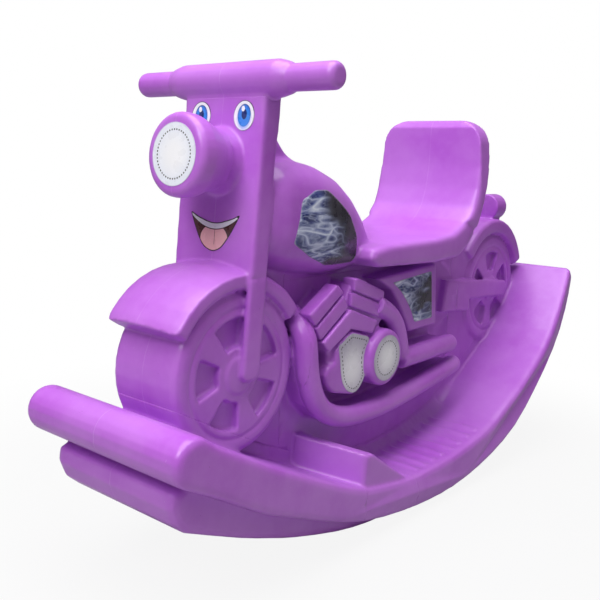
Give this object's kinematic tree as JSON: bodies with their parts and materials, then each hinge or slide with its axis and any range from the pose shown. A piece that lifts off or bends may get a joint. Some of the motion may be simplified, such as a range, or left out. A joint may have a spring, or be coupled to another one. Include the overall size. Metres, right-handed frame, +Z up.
{
  "type": "rocking motorcycle",
  "caption": "Child's ride-on rocker shaped like a motorcycle, in purple moulded plastic on a curved board, with a seat, handlebar, foot stops and printed labels.",
  "frame": {"origin": "on the floor under the middle of the rocker's bounding box", "axes": "+Z up, front of the motorcycle towards -Y, the rider's left hand towards +X"},
  "size_m": [0.318, 1.0177, 0.6192],
  "materials": {
    "purple_moulding": "semi-gloss moulded polyethylene",
    "label_white": "printed film",
    "label_eye": "printed film",
    "label_mouth": "printed film",
    "label_dark": "printed film"
  },
  "bodies": {
    "root": {"rocker_deck": "purple_moulding", "rocker_keel": "purple_moulding", "front_wheel": "purple_moulding", "rear_wheel": "purple_moulding", "front_fender": "purple_moulding", "rear_fender": "purple_moulding", "fork_column": "purple_moulding", "headlamp_barrel": "purple_moulding", "handlebar_sleeve": "purple_moulding", "fuel_tank": "purple_moulding", "tank_neck": "purple_moulding", "body_core": "purple_moulding", "seat_pan": "purple_moulding", "seat_back": "purple_moulding", "tail_lamp": "purple_moulding", "headlamp_label": "label_white", "mouth_label": "label_mouth", "grip_left": "purple_moulding", "grip_right": "purple_moulding", "fork_blade_left": "purple_moulding", "fork_blade_right": "purple_moulding", "foot_stop_left": "purple_moulding", "foot_stop_right": "purple_moulding", "front_fin_upper_left": "purple_moulding", "front_fin_upper_right": "purple_moulding", "front_fin_lower_left": "purple_moulding", "front_fin_lower_right": "purple_moulding", "rear_fin_upper_left": "purple_moulding", "rear_fin_upper_right": "purple_moulding", "rear_fin_lower_left": "purple_moulding", "rear_fin_lower_right": "purple_moulding", "cylinder_chevron_left": "purple_moulding", "cylinder_chevron_right": "purple_moulding", "crankcase_left": "purple_moulding", "crankcase_right": "purple_moulding", "round_cover_left": "purple_moulding", "round_cover_right": "purple_moulding", "lower_exhaust_left": "purple_moulding", "lower_exhaust_right": "purple_moulding", "upper_exhaust_left": "purple_moulding", "upper_exhaust_right": "purple_moulding", "side_panel_left": "purple_moulding", "side_panel_right": "purple_moulding", "swing_arm_left": "purple_moulding", "swing_arm_right": "purple_moulding", "eye_label_left": "label_eye", "eye_label_right": "label_eye", "tank_label_left": "label_dark", "tank_label_right": "label_dark", "shield_label_left": "label_white", "shield_label_right": "label_white", "cover_label_left": "label_white", "cover_label_right": "label_white", "panel_label_left": "label_dark", "panel_label_right": "label_dark"}
  },
  "joints": []
}
